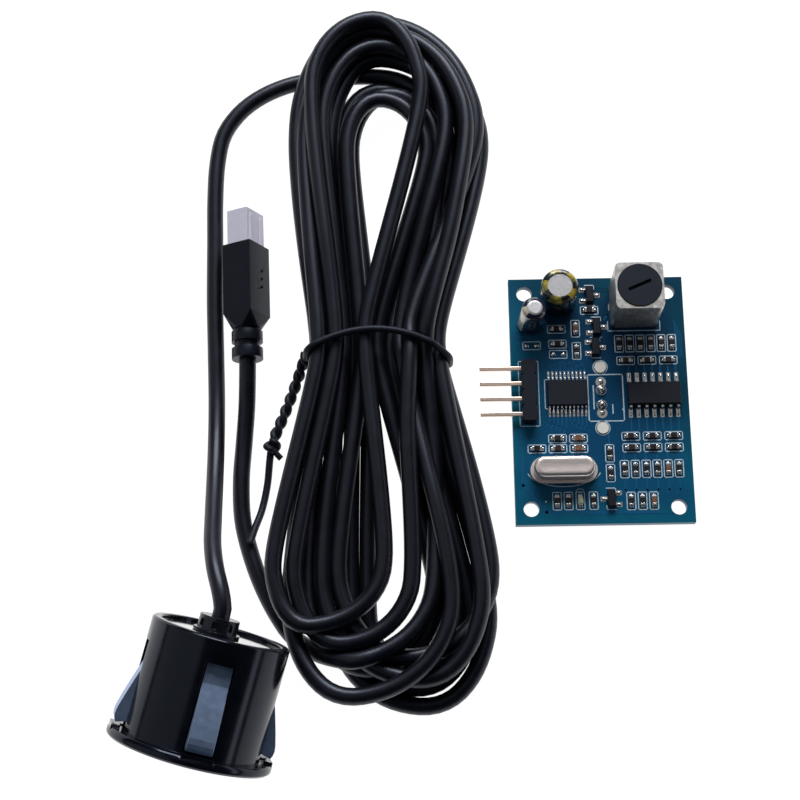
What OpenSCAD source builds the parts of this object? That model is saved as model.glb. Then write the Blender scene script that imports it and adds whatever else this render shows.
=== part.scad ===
// Ultrasonic distance sensor: a control board, and a sealed probe on a long cable wound into a hank.
// Millimetres. The kit lies on the plane z = 0, with +X towards the board and +Y away from the probe's face.

/* [Control board] */
// Width of the circuit board, across the side with the four-pin header
board_w = 28.5; // [28:0.5:32]
// Length of the circuit board
board_l = 41.2; // [41:0.2:46]
// Thickness of the circuit board
board_t = 1.6; // [1.2:0.2:2.0]
// Diameter of the four mounting holes
hole_d = 2.5; // [2:0.1:2.8]
// Distance from the board's edges to the mounting holes
hole_inset = 2.55; // [2.3:0.05:3]
// Height of the probe socket, on which the board stands
socket_h = 7; // [6:0.5:9]
// Distance between neighbouring pins of the four-pin header
header_pitch = 2.54; // [2:0.01:2.54]

/* [Capacitors and transformer] */
// Diameter of the large electrolytic capacitor
large_can_d = 6; // [5:0.5:6.5]
// Diameter of the small electrolytic capacitor
small_can_d = 4; // [3.5:0.5:4.5]
// Height of both electrolytic capacitors
can_h = 7; // [6:0.5:11]
// Side of the transformer's square shield
shield_w = 7.7; // [7.6:0.1:8]
// Height of the transformer's shield
shield_h = 10; // [9.5:0.5:12]

/* [Probe] */
// Diameter of the probe's body, which passes through the panel hole
body_d = 21.4; // [21.2:0.1:21.8]
// Diameter of the probe's flange
flange_d = 25.6; // [25.2:0.2:27]
// Thickness of the flange
flange_t = 1.6; // [1.4:0.1:1.8]
// Length of the probe from its face to its back rim
probe_l = 19; // [18.8:0.2:21]
// Diameter of the transducer's radiating face
face_d = 14; // [12:0.5:14]

/* [Cable and plug] */
// Diameter of the cable
cable_d = 2.8; // [2.4:0.1:3]
// Height of the cable's hank
hank_h = 9; // [8:0.5:11]
// Length of the plug's moulded body, without its neck
plug_l = 14.6; // [13:0.2:16]
// Width of the plug's moulded body along its row of contacts
plug_w = 6; // [5.8:0.1:7]
// Thickness of the plug's moulded body
plug_t = 5.4; // [5:0.1:6]

/* [Hidden] */
$fn = 64;
eps = 0.01;

// Where the three loose pieces lie
board_at = [31.3, 19.5, socket_h];
probe_at = [-33.73, -36.19, 12.38];
probe_heading = 16.8;
probe_tilt = 12.7;
plug_at = [-26.15, 28.6, 3.82];
plug_heading = 1.5;
plug_roll = -28;

// Places on the board, from its centre
hole_x = board_w / 2 - hole_inset;
hole_y = board_l / 2 - hole_inset;
header_at = [-11.5, 1];
header_pins_out = 6.7;
large_can_at = [-6.35, 17];
small_can_at = [-11, 12.9];
small_can_lean = [-3, 4, 0];
small_can_lift = 0.12;
shield_at = [6, 15.7];
controller_at = [-5.3, 0.85];
amplifier_at = [8.6, 0.45];
crystal_at = [-6.35, -11.9];
socket_at = [0.2, 0.15];
light_at = [-3.9, -16.85];
// Small transistors: x, y and the direction that their single lead faces
transistors = [[-1, 17.6, 0], [-0.1, 12.1, 0], [-0.4, 8.6, 0], [1, -16.6, 180]];
// Chips across the board's width, then chips along its length
resistors_across = concat([for (i = [0:2]) [4.4 + 3.45 * i, 6.3], for (i = [0:2]) [4.6 + 3.43 * i, -6.4],
                           for (i = [0:2]) [4.65 + 3.4 * i, -8.3]],
                          [[-1.15, 15], [-6.65, 11.85], [-6.55, 9.3], [-10.5, -8.25], [-7.15, -8.25],
                           [-7.15, -6.6]]);
resistors_along = concat([for (i = [0:5]) [3.45 + 1.71 * i, 9.2], for (i = [0:3]) [3.35 + 1.74 * i, -11.8]],
                         [[12, -11.8], [-3.5, 8.1], [1.1, -9.15], [1.1, -12.4], [-7.6, -16.85],
                          [-5.8, -16.85], [-1.8, -16.85], [4.15, -17], [5.95, -17]]);
capacitors_across = [[-3.8, -6.6], [-3.8, -8.25]];
capacitors_along = [[-3.55, 11.9], [10.31, -11.8], [7.75, -17]];
chip = [1.6, 0.8, 0.45];
chip_end = 0.35;

// Through-hole parts
tail = 1;
wire_r = 0.25;
lead_hole_d = 1;
header_w = 2.4;
header_h = 2.5;
header_chamfer = 0.35;
pin = 0.64;
pin_z = 1.25;
header_count = 4;
pin_root_x = 0.5;

// Electrolytic capacitors
sleeve_t = 0.15;
shoulder_r = 0.9;
large_lead_gap = 2.5;
small_lead_gap = 1.5;
seal_h = 1.1;

// Transformer
shield_t = 0.3;
shield_corner = 0.9;
core_r = 3.5;
core_fit = 0.08;
core_h = 6;
core_proud = 0.2;
core_bore_r = 2.8;
core_roof = 1.2;
slot_l = 3.9;
slot_w = 0.55;
slot_turn = 23;
bobbin_base_h = 2.2;
bobbin_lift = 0.3;
drum_r = 1.2;
drum_flange_r = 2.4;
drum_flange_t = 0.6;
drum_top = 8.4;
transformer_pin_places = [[-2.5, -2.5], [0, -2.5], [2.5, -2.5], [-2.5, 2.5], [2.5, 2.5]];

// Probe
body_r = body_d / 2;
flange_r = flange_d / 2;
bore_r = 8.3;
back_bore_r = 9.3;
back_bore_z = 16.4;
potting_z = 18.4;
cup_top = 8.4;
cup_t = 0.7;
face_inset = 0.15;
piezo_r = 4.8;
piezo_t = 0.6;
foam_top = 7;
wire_gap = 1.1;
inner_wire_r = 0.45;
gland_at = -0.8;
gland_r = 3.1;
gland_top = 21;
gland_teeth = 8;

// Spring clips, in the plane of the probe's axis: distance from the axis, and height from the face
clip_w = 4;
clip_t = 0.4;
clip_turn = -74.5;
clip_line = [[9.3, 15.9], [9.3, 15.3], [9.75, 12.2], [10.75, 9.1], [11.6, 6.3], [12.1, 4.4], [12.2, 3.6],
             [12.1, 3], [11.85, 2.5]];
cheek_t = 0.4;
cheek_line = [[9.35, 11.6], [10.3, 2.85]];
window_w = 4.5;
window_floor_r = 8.9;
window_top = 15.3;
clip_pocket_r = 9.8;
clip_pocket_top = 16.3;
nub_w = 4.8;
nub_r = [11.1, 12.5];
nub_top = 2;

// Cable routes, through the middle of the cable
cable_r = cable_d / 2;
probe_route = [[-28.57, -16.45, 16.97], [-28.25, -15.2, 17.2], [-28.6, -12.6, 17.1], [-29.6, -8.8, 15.8],
               [-30.4, -4.4, 13.2], [-30.7, 0, 10.3], [-31, 7, 6.2], [-31.2, 14, 3.2], [-31.4, 22, 1.6],
               [-31.7, 31, 1.4], [-32, 40, 1.4], [-32.1, 50, 1.4], [-32.2, 58, 1.4], [-31.9, 65, 1.4],
               [-30.9, 70, 1.4], [-28.8, 73.5, 1.4], [-26, 76.2, 1.4], [-22, 78.5, 1.4], [-17, 80, 1.4]];
plug_route = [[-26.15, 28.6, 3.82], [-26.15, 27, 3.72], [-26.35, 21, 2.2], [-26.8, 15, 1.4],
              [-27.2, 8.7, 1.4], [-26.9, 2, 1.4], [-25.6, -3.5, 1.4], [-23.6, -9, 1.4], [-21, -14, 1.4],
              [-18.3, -17.5, 1.4]];
tube_sides = 8;

// Hank and its tie
hank_upper = [[-3.4, 77, 15], [5.2, 58, 9], [-9.3, 62, 9]];
hank_lower = [[-13.2, -5, 10], [4, -11, 10], [-9, -17.2, 12], [1.5, -17.2, 12]];
hank_waist = [[-12.4, 31, 4], [2.6, 31, 4]];
tie_y = 30.5;
tie_r = 0.6;
tie_x = [-16.9, 7.1];
tie_tail = [[-17.4, 30.5, 5], [-17.6, 29, 4.2], [-18.4, 26.5, 2.2], [-19.6, 22, 1], [-22.2, 14, 1],
            [-23, 8, 0.8], [-24.3, 2.5, 0.7]];
tie_knot_r = 1.2;

// Plug
neck_l = 5.2;
neck_r = 2.1;
neck_ring_r = 2.6;
plug_taper_l = 2.4;
housing_w = 5.2;
housing_t = 4;
housing_l = 6.2;
contact_gap = 2.5;
contact_hole = 0.9;
contact_l = 5;

// Parts that are shaped alike

module on_board(at = [0, 0]) {
    translate([board_at.x + at.x, board_at.y + at.y, board_at.z]) children();
}

module on_top(at = [0, 0]) {
    on_board(at) translate([0, 0, board_t]) children();
}

module in_probe() {
    translate(probe_at)
        rotate([0, 0, -probe_heading])
            rotate([probe_tilt - 90, 0, 0]) children();
}

module in_plug() {
    translate(plug_at)
        rotate([0, 0, plug_heading])
            rotate([0, plug_roll, 0])
                rotate([-90, 0, 0]) children();
}

// A block with square corners, centred in x and y and standing on z = 0
module block(size) {
    translate([-size.x / 2, -size.y / 2, 0]) cube(size);
}

// A square plate with true round corners
module round_plate(side, corner, height) {
    block([side, side - 2 * corner, height]);
    block([side - 2 * corner, side, height]);
    for (x = [-1, 1], y = [-1, 1])
        translate([x * (side / 2 - corner), y * (side / 2 - corner), 0]) cylinder(r = corner, h = height);
}

// A plate with two round ends
module stadium(length, width, height) {
    block([length - width, width, height]);
    for (x = [-1, 1])
        translate([x * (length - width) / 2, 0, 0]) cylinder(d = width, h = height);
}

// A moulded package that is widest halfway up and draws in towards its top and bottom
module moulded(length, width, height) {
    draft = 0.12 * height;
    intersection() {
        translate([0, width / 2, 0])
            rotate([90, 0, 0])
                linear_extrude(width) hexagon(length, height, draft);
        translate([-length / 2, 0, 0])
            rotate([90, 0, 90])
                linear_extrude(length) hexagon(width, height, draft);
    }
}

module hexagon(width, height, draft) {
    half = width / 2;
    polygon([[-half + draft, 0], [half - draft, 0], [half, height / 2], [half - draft, height],
             [-half + draft, height], [-half, height / 2]]);
}

// One bent lead that leaves a package at x = 0 and height z, and stands on the board at x = reach
module gull_lead(reach, z, width, thickness) {
    knee = 0.3 * reach;
    foot = 0.55 * reach;
    translate([0, width / 2, 0])
        rotate([90, 0, 0])
            linear_extrude(width)
                polygon([[0, z], [knee, z], [foot, thickness], [reach, thickness], [reach, 0],
                         [foot - thickness, 0], [knee - thickness, z - thickness], [0, z - thickness]]);
}

// Two rows of leads along a package's length
module lead_rows(count, pitch, width, reach, z, lead_w, thickness) {
    for (i = [0:count - 1], side = [-1, 1])
        translate([(i - (count - 1) / 2) * pitch, side * width / 2, 0])
            rotate([0, 0, 90 * side]) gull_lead(reach, z, lead_w, thickness);
}

module wire(at, r, z0, z1) {
    translate([at.x, at.y, z0]) cylinder(r = r, h = z1 - z0);
}

// The solder around a lead under the board
module solder_cone(at) {
    translate([at.x, at.y, -0.8]) cylinder(r1 = 0.42, r2 = 0.85, h = 0.8);
}

function quarter_arc(cx, cz, r, steps = 6) =
    [for (i = [0:steps]) [cx + r * cos(90 * i / steps), cz + r * sin(90 * i / steps)]];

function unit(v) = v / norm(v);

// The direction of a route at one of its points
function heading(route, i) =
    unit(route[min(i + 1, len(route) - 1)] - route[max(i - 1, 0)]);

function ring(route, i, r) =
    let (along = heading(route, i), side = unit(cross(along, [0, 0, 1])), up = cross(side, along))
    [for (k = [0:tube_sides - 1])
        route[i] + r * (cos(360 * k / tube_sides) * up + sin(360 * k / tube_sides) * side)];

// A tube swept through every point of a route
module tube(route, r) {
    rings = len(route);
    points = [for (i = [0:rings - 1]) each ring(route, i, r)];
    walls = [for (i = [0:rings - 2], k = [0:tube_sides - 1])
        let (a = i * tube_sides, b = a + tube_sides, next = (k + 1) % tube_sides)
        [a + k, b + k, b + next, a + next]];
    ends = [[for (k = [0:tube_sides - 1]) k],
            [for (k = [tube_sides - 1:-1:0]) (rings - 1) * tube_sides + k]];
    polyhedron(points, concat(walls, ends), convexity = 10);
}

// Circuit board

header_rows = [for (i = [0:header_count - 1]) (i - (header_count - 1) / 2) * header_pitch];
header_holes = [for (y = header_rows) header_at + [pin_root_x, y]];
large_can_holes = [for (x = [-1, 1]) large_can_at + [x * large_lead_gap / 2, 0]];
small_can_holes = [for (x = [-1, 1]) small_can_at + [x * small_lead_gap / 2, 0]];
transformer_holes = [for (p = transformer_pin_places) shield_at + p];
shield_tabs = [for (x = [-1, 1]) shield_at + [x * (shield_w - shield_t) / 2, 0]];
crystal_holes = [for (x = [-2.44, 2.44]) crystal_at + [x, 0]];
socket_holes = [for (y = [-contact_gap / 2, contact_gap / 2]) socket_at + [0, y]];
spare_holes = [for (y = [-2.6, 2.6]) socket_at + [0, y]];
lead_holes = concat(header_holes, large_can_holes, small_can_holes, transformer_holes, crystal_holes);
peg_gap = 10.2;
peg_r = 0.95;
peg_hole_r = 1.02;
pegs = [for (y = [-peg_gap / 2, peg_gap / 2]) socket_at + [0, y]];
tab = [0.3, 1.2];
tab_fit = 0.15;

module circuit_board() {
    color("#12538a")
        on_board() difference() {
            block([board_w, board_l, board_t]);
            for (x = [-hole_x, hole_x], y = [-hole_y, hole_y])
                translate([x, y, -1]) cylinder(d = hole_d, h = board_t + 2);
            for (at = lead_holes)
                wire(at, lead_hole_d / 2, -1, board_t + 1);
            for (at = concat(socket_holes, spare_holes))
                wire(at, 0.5, -1, board_t + 1);
            for (at = pegs)
                wire(at, peg_hole_r, -1, board_t + 1);
            for (at = shield_tabs)
                translate([at.x, at.y, -1]) block([tab.x + 2 * tab_fit, tab.y + 2 * tab_fit, board_t + 2]);
        }
}

// Four-pin header

module header_pin_shapes() {
    for (y = header_rows) {
        translate([-header_w / 2 - header_pins_out, y - pin / 2, pin_z - pin / 2])
            cube([header_w / 2 + header_pins_out + pin_root_x + pin / 2, pin, pin]);
        translate([pin_root_x, y, -board_t - tail]) block([pin, pin, board_t + tail + pin_z]);
    }
}

module header_block() {
    c = header_chamfer;
    x = header_w / 2;
    y = header_pitch / 2;
    color("#17171b")
        on_top(header_at) difference() {
            for (row = header_rows)
                translate([0, row, 0])
                    linear_extrude(header_h)
                        polygon([[-x, -y + c], [-x + c, -y], [x - c, -y], [x, -y + c],
                                 [x, y - c], [x - c, y], [-x + c, y], [-x, y - c]]);
            header_pin_shapes();
        }
}

module header_pins() {
    color("#d9c6a8") on_top(header_at) header_pin_shapes();
}

// Electrolytic capacitors: each is a sleeved aluminium can on a rubber seal

module can_outline(r, z0, z1, shoulder) {
    polygon(concat([[0, z0], [r, z0]], quarter_arc(r - shoulder, z1 - shoulder, shoulder), [[0, z1]]));
}

module capacitor_can(d) {
    r = d / 2 - sleeve_t;
    difference() {
        rotate_extrude() can_outline(r, 0.2, can_h, shoulder_r);
        translate([0, 0, -1]) cylinder(r = r - 0.35, h = 1 + 0.2 + seal_h);
        rotate_extrude() translate([r + 0.1, 1]) circle(r = 0.3, $fn = 32);
    }
}

module capacitor_sleeve(d) {
    r = d / 2;
    lip_r = 0.67 * r;
    difference() {
        rotate_extrude() can_outline(r, 0.1, can_h + sleeve_t, shoulder_r + sleeve_t);
        rotate_extrude() can_outline(r - sleeve_t, 0.1 - eps, can_h, shoulder_r);
        translate([0, 0, can_h - 1]) cylinder(r = lip_r, h = 2);
    }
}

module capacitor_seal(d, gap) {
    r = d / 2 - sleeve_t - 0.35;
    difference() {
        translate([0, 0, 0.05]) cylinder(r = r, h = 0.15 + seal_h);
        capacitor_leads(gap);
    }
}

module capacitor_leads(gap) {
    for (x = [-gap / 2, gap / 2])
        wire([x, 0], wire_r, -board_t - tail, 0.2 + seal_h);
}

module large_can() {
    on_top(large_can_at) children();
}

module small_can() {
    on_top(small_can_at) translate([0, 0, small_can_lift]) rotate(small_can_lean) children();
}

module large_capacitor_can() {
    color("#c9ccd2") large_can() capacitor_can(large_can_d);
}

module large_capacitor_sleeve() {
    color("#23241c") large_can() capacitor_sleeve(large_can_d);
}

module large_capacitor_seal() {
    color("#2b2b2d") large_can() capacitor_seal(large_can_d, large_lead_gap);
}

module large_capacitor_leads() {
    color("#c8c8cc") large_can() capacitor_leads(large_lead_gap);
}

module small_capacitor_can() {
    color("#c9ccd2") small_can() capacitor_can(small_can_d);
}

module small_capacitor_sleeve() {
    color("#1b2233") small_can() capacitor_sleeve(small_can_d);
}

module small_capacitor_seal() {
    color("#2b2b2d") small_can() capacitor_seal(small_can_d, small_lead_gap);
}

module small_capacitor_leads() {
    color("#c8c8cc") small_can() capacitor_leads(small_lead_gap);
}

// Tuned transformer: a cup-shaped core turns in the top of a square shield, over a wound drum

module transformer_shield() {
    inner = shield_w - 2 * shield_t;
    color("#bfc1bd")
        on_top(shield_at) {
            difference() {
                translate([0, 0, 0.1]) round_plate(shield_w, shield_corner, shield_h - 0.1);
                translate([0, 0, -1]) round_plate(inner, shield_corner - shield_t, shield_h - shield_t + 1);
                cylinder(r = core_r + core_fit, h = shield_h + 1);
            }
            for (x = [-1, 1])
                translate([x * (shield_w - shield_t) / 2, 0, -board_t - 0.8])
                    block([tab.x, tab.y, board_t + 0.9 + eps]);
        }
}

module transformer_core() {
    top = shield_h + core_proud;
    color("#26272a")
        on_top(shield_at) difference() {
            translate([0, 0, top - core_h]) cylinder(r = core_r, h = core_h);
            translate([0, 0, top - core_h - 1]) cylinder(r = core_bore_r, h = core_h - core_roof + 1);
            translate([0, 0, top - 0.6]) rotate([0, 0, slot_turn]) block([slot_l, slot_w, 1]);
        }
}

module transformer_bobbin() {
    base = shield_w - 2 * shield_t - 0.3;
    drum_bottom = bobbin_lift + bobbin_base_h;
    color("#3a2f28")
        on_top(shield_at) difference() {
            union() {
                translate([0, 0, bobbin_lift]) block([base, base, bobbin_base_h]);
                translate([0, 0, drum_bottom - eps]) cylinder(r = drum_r, h = drum_top - drum_bottom + eps);
                translate([0, 0, drum_bottom - eps]) cylinder(r = drum_flange_r, h = drum_flange_t);
                translate([0, 0, drum_top - drum_flange_t]) cylinder(r = drum_flange_r, h = drum_flange_t);
            }
            for (at = transformer_pin_places)
                wire(at, wire_r, -1, bobbin_lift + 1.5);
        }
}

module transformer_winding() {
    z0 = bobbin_lift + bobbin_base_h + drum_flange_t - eps;
    z1 = drum_top - drum_flange_t;
    color("#9a4f24")
        on_top(shield_at) difference() {
            translate([0, 0, z0]) cylinder(r = drum_flange_r - 0.2, h = z1 - z0);
            translate([0, 0, z0 - 1]) cylinder(r = drum_r, h = z1 - z0 + 2);
        }
}

module transformer_pins() {
    color("#c8c8cc")
        on_top(shield_at)
            for (at = transformer_pin_places)
                wire(at, wire_r, -board_t - tail, bobbin_lift + 1.5);
}

// Microcontroller with 20 fine leads, and the receiving amplifier with 14 leads

module microcontroller_body() {
    color("#1b1b1e") on_top(controller_at) translate([0, 0, 0.1]) moulded(6.5, 4.4, 1);
}

module microcontroller_leads() {
    color("#cfd0d2") on_top(controller_at) lead_rows(10, 0.65, 4.4, 1, 0.66, 0.24, 0.12);
}

module amplifier_body() {
    color("#1b1b1e") on_top(amplifier_at) translate([0, 0, 0.15]) moulded(8.65, 3.9, 1.45);
}

module amplifier_leads() {
    color("#cfd0d2") on_top(amplifier_at) lead_rows(7, 1.27, 3.9, 1.05, 0.96, 0.42, 0.18);
}

// Small transistors with two leads on one side and one on the other

module transistor_bodies() {
    color("#1b1b1e")
        for (t = transistors)
            on_top([t.x, t.y]) translate([0, 0, 0.08]) moulded(1.3, 2.9, 0.95);
}

module transistor_leads() {
    color("#cfd0d2")
        for (t = transistors)
            on_top([t.x, t.y]) rotate([0, 0, t.z]) {
                translate([0.65, 0, 0]) gull_lead(0.6, 0.62, 0.42, 0.13);
                for (y = [-0.95, 0.95])
                    translate([-0.65, y, 0]) rotate([0, 0, 180]) gull_lead(0.6, 0.62, 0.42, 0.13);
            }
}

// Crystal in a low metal can

crystal_base_h = 0.7;
crystal_h = 3.5;

module crystal_can() {
    color("#b9aca6")
        on_top(crystal_at) translate([0, 0, crystal_base_h]) stadium(9.7, 3.4, crystal_h - crystal_base_h);
}

module crystal_base() {
    color("#a39a94")
        on_top(crystal_at) difference() {
            translate([0, 0, 0.1]) stadium(10.7, 4.35, crystal_base_h - 0.1);
            for (x = [-2.44, 2.44])
                wire([x, 0], wire_r, -1, crystal_base_h - 0.2);
        }
}

module crystal_leads() {
    color("#c8c8cc")
        on_top(crystal_at)
            for (x = [-2.44, 2.44])
                wire([x, 0], wire_r, -board_t - tail, crystal_base_h - 0.2);
}

// Chip resistors, chip capacitors and their metal ends

module each_chip(across, along) {
    for (at = across)
        on_top(at) children();
    for (at = along)
        on_top(at) rotate([0, 0, 90]) children();
}

module chip_middle() {
    translate([0, 0, 0.05]) block([chip.x - 2 * chip_end, chip.y, chip.z - 0.05]);
}

module chip_ends() {
    for (x = [-1, 1])
        translate([x * (chip.x - chip_end) / 2, 0, 0]) block([chip_end, chip.y, chip.z]);
}

module chip_resistors() {
    color("#141416") each_chip(resistors_across, resistors_along) chip_middle();
}

module chip_capacitors() {
    color("#9b6a45") each_chip(capacitors_across, capacitors_along) chip_middle();
}

module chip_terminals() {
    color("#d5d6d8")
        each_chip(concat(resistors_across, capacitors_across),
                  concat(resistors_along, capacitors_along, [light_at])) chip_ends();
}

// Indicator light

module light_base() {
    color("#e8e6da") each_chip([], [light_at]) block([chip.x - 2 * chip_end, chip.y, 0.25]);
}

module light_lens() {
    color("#c7d9a8")
        each_chip([], [light_at])
            translate([0, 0, 0.25]) block([chip.x - 2 * chip_end, chip.y, 0.3]);
}

// Probe socket on the board's underside, with two pegs through the board

socket_w = 5.75;
socket_l = 7.5;
socket_ears_l = 12.6;
socket_ears_t = 1.2;
socket_cavity = [4.3, 5.6];
socket_roof = 1.4;
socket_notch = 1.6;

module socket_pin_shapes() {
    for (y = [-contact_gap / 2, contact_gap / 2])
        translate([0, y, 1.2 - socket_h]) block([pin, pin, socket_h - 1.2 + board_t + 0.7]);
}

module socket_shell() {
    color("#eeeae0")
        on_board(socket_at) {
            difference() {
                union() {
                    translate([0, 0, -socket_h]) block([socket_w, socket_l, socket_h]);
                    translate([0, 0, -socket_ears_t]) block([socket_w - 1, socket_ears_l, socket_ears_t]);
                }
                translate([0, 0, -socket_h - 1])
                    block([socket_cavity.x, socket_cavity.y, socket_h - socket_roof + 1]);
                translate([socket_w / 2, 0, -socket_h - 1]) block([socket_w / 2, socket_notch, 4]);
                socket_pin_shapes();
            }
            for (y = [-peg_gap / 2, peg_gap / 2])
                translate([0, y, -eps]) cylinder(r = peg_r, h = board_t + 0.25);
        }
}

module socket_pins() {
    color("#d6d3c8") on_board(socket_at) socket_pin_shapes();
}

// Solder: a cone around each lead below the board, and a dome over each socket pin and spare hole above it

module solder_joints() {
    color("#c4c7cb") {
        difference() {
            on_board()
                for (at = lead_holes)
                    solder_cone(at);
            on_top(header_at) header_pin_shapes();
            large_can() capacitor_leads(large_lead_gap);
            small_can() capacitor_leads(small_lead_gap);
            on_board()
                for (at = concat(transformer_holes, crystal_holes))
                    wire(at, wire_r, -2, 1);
        }
        on_board() difference() {
            for (at = socket_holes)
                translate([at.x, at.y, board_t]) cylinder(r1 = 0.8, r2 = 0.45, h = 0.7);
            translate([socket_at.x, socket_at.y, 0]) socket_pin_shapes();
        }
    }
}

// Probe housing: a sleeve with a flange, windows for four spring clips, and nubs that guard the clips' ends

module housing_outline() {
    polygon([[bore_r, 0.3], [bore_r + 0.3, 0], [flange_r - 1, 0], [flange_r - 0.35, 0.15], [flange_r, 0.5],
             [flange_r, flange_t - 0.5], [flange_r - 0.35, flange_t], [body_r, flange_t],
             [body_r, probe_l - 0.3], [body_r - 0.3, probe_l], [back_bore_r + 0.2, probe_l],
             [back_bore_r, probe_l - 0.2], [back_bore_r, back_bore_z], [bore_r, back_bore_z]]);
}

module probe_housing() {
    reach = nub_r[0] + 0.1;
    window_z = flange_t - 0.2;
    color("#101114")
        in_probe() {
            difference() {
                rotate_extrude($fn = 128) housing_outline();
                for (k = [0:3])
                    rotate([0, 0, clip_turn + 90 * k]) {
                        translate([window_floor_r, -window_w / 2, window_z])
                            cube([reach - window_floor_r, window_w, window_top - window_z]);
                        translate([window_floor_r, -window_w / 2, window_top - eps])
                            cube([clip_pocket_r - window_floor_r, window_w, clip_pocket_top - window_top]);
                    }
            }
            for (k = [0:3])
                rotate([0, 0, clip_turn + 90 * k])
                    translate([nub_r[0], -nub_w / 2, flange_t - 0.6])
                        cube([nub_r[1] - nub_r[0], nub_w, nub_top - flange_t + 0.6]);
        }
}

// A spring clip, bent along its line from the root to the free end

function clip_side(offset) =
    [for (i = [0:len(clip_line) - 1])
        let (run = unit(clip_line[min(i + 1, len(clip_line) - 1)] - clip_line[max(i - 1, 0)]))
        clip_line[i] + offset * [-run.y, run.x]];

// The area between a clip's outer face and its inner face, or its outer face and the edges of its cheeks
module clip_profile(inside) {
    outer = clip_side(clip_t / 2);
    polygon(concat(inside, [for (i = [len(outer) - 1:-1:0]) outer[i]]));
}

module spring_clip(k) {
    leaf = clip_side(-clip_t / 2);
    cheek = concat([for (i = [0:2]) leaf[i]], cheek_line);
    color("#7f93b3")
        in_probe()
            rotate([0, 0, clip_turn + 90 * k])
                translate([0, clip_w / 2, 0])
                    rotate([90, 0, 0]) {
                        linear_extrude(clip_w) clip_profile(leaf);
                        for (z = [0, clip_w - cheek_t])
                            translate([0, 0, z]) linear_extrude(cheek_t) clip_profile(cheek);
                    }
}

module spring_clip_top() {
    spring_clip(0);
}

module spring_clip_right() {
    spring_clip(1);
}

module spring_clip_bottom() {
    spring_clip(2);
}

module spring_clip_left() {
    spring_clip(3);
}

// The transducer, from its face back

cup_r = face_d / 2;

module wire_pair(r, z0, z1) {
    for (x = [-wire_gap, wire_gap])
        wire([x, 0], r, z0, z1);
}

module transducer_cup() {
    color("#2a2b2e")
        in_probe() difference() {
            translate([0, 0, face_inset]) cylinder(r = cup_r, h = cup_top - face_inset);
            translate([0, 0, face_inset + cup_t]) cylinder(r = cup_r - cup_t, h = cup_top);
        }
}

module isolation_ring() {
    color("#1d1e20")
        in_probe() difference() {
            translate([0, 0, 0.3]) cylinder(r = bore_r, h = cup_top - 0.3);
            translate([0, 0, -1]) cylinder(r = cup_r, h = cup_top + 2);
        }
}

module piezo_disc() {
    color("#c8b98c") in_probe() translate([0, 0, face_inset + cup_t]) cylinder(r = piezo_r, h = piezo_t);
}

module damping_foam() {
    z0 = face_inset + cup_t + piezo_t;
    color("#5b5d60")
        in_probe() difference() {
            translate([0, 0, z0]) cylinder(r = cup_r - cup_t, h = foam_top - z0);
            wire_pair(inner_wire_r, z0 - 1, foam_top + 1);
        }
}

module potting() {
    color("#17181b")
        in_probe() difference() {
            union() {
                translate([0, 0, foam_top]) cylinder(r = cup_r - cup_t, h = cup_top - foam_top);
                translate([0, 0, cup_top]) cylinder(r = bore_r, h = back_bore_z - cup_top);
                translate([0, 0, back_bore_z]) cylinder(r = back_bore_r, h = potting_z - back_bore_z);
            }
            wire_pair(inner_wire_r, foam_top - 1, potting_z + 1);
        }
}

module inner_wires() {
    color("#b33c2c") in_probe() wire_pair(inner_wire_r, face_inset + cup_t + piezo_t, potting_z);
}

// Cable gland with notches around its collar

module cable_gland() {
    collar = gland_top - potting_z;
    color("#141518")
        in_probe() translate([gland_at, 0, 0]) difference() {
            union() {
                translate([0, 0, potting_z]) cylinder(r = gland_r, h = collar);
                translate([0, 0, potting_z]) cylinder(r = gland_r + 0.5, h = 0.5);
            }
            for (k = [0:gland_teeth - 1])
                rotate([0, 0, 360 * k / gland_teeth])
                    translate([gland_r - 0.35, -0.45, potting_z + 0.9]) cube([1, 0.9, collar - 1.6]);
        }
}

// Cable, hank and tie

module cable_from_probe() {
    color("#131417") tube(probe_route, cable_r);
}

module cable_to_plug() {
    color("#131417") tube(plug_route, cable_r);
}

module hank_lobe(circles) {
    hull()
        for (c = circles)
            translate([c.x, c.y]) circle(r = c.z, $fn = 48);
}

module cable_hank() {
    color("#131417")
        difference() {
            linear_extrude(hank_h) {
                hank_lobe(concat(hank_waist, hank_upper));
                hank_lobe(concat(hank_waist, hank_lower));
            }
            translate([tie_x[0], tie_y - tie_r, -1]) cube([tie_x[1] - tie_x[0], 2 * tie_r, 1 + 2 * tie_r]);
        }
}

module cable_tie() {
    knot = tie_tail[4];
    color("#1a1a1c") {
        difference() {
            translate([tie_x[0] - 2 * tie_r, tie_y - tie_r, 0])
                cube([tie_x[1] - tie_x[0] + 4 * tie_r, 2 * tie_r, hank_h + 2 * tie_r]);
            translate([tie_x[0], tie_y - 2 * tie_r, 2 * tie_r])
                cube([tie_x[1] - tie_x[0], 4 * tie_r, hank_h - 2 * tie_r]);
        }
        tube(tie_tail, tie_r);
        translate([knot.x, knot.y, tie_knot_r]) sphere(r = tie_knot_r, $fn = 24);
    }
}

// Plug: a moulded body with a ribbed neck, and a two-way housing with its contacts

module plug_body() {
    body_z = neck_l + plug_taper_l;
    color("#17181b")
        in_plug() {
            cylinder(r = neck_r, h = neck_l + 0.5);
            for (z = [0, 2.9])
                translate([0, 0, z]) cylinder(r = neck_ring_r, h = 1.8);
            hull() {
                translate([0, 0, neck_l]) cylinder(r = neck_r + 0.3, h = 0.1, $fn = 32);
                translate([0, 0, body_z]) block([plug_t, plug_w, 0.1]);
            }
            difference() {
                translate([0, 0, body_z]) block([plug_t, plug_w, plug_l - plug_taper_l]);
                for (i = [0:2])
                    translate([plug_t / 2 + 0.35, 0, body_z + 4.2 + 1.4 * i])
                        rotate([25, 0, 0]) block([1, 2.2, 0.45]);
            }
        }
}

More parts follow.
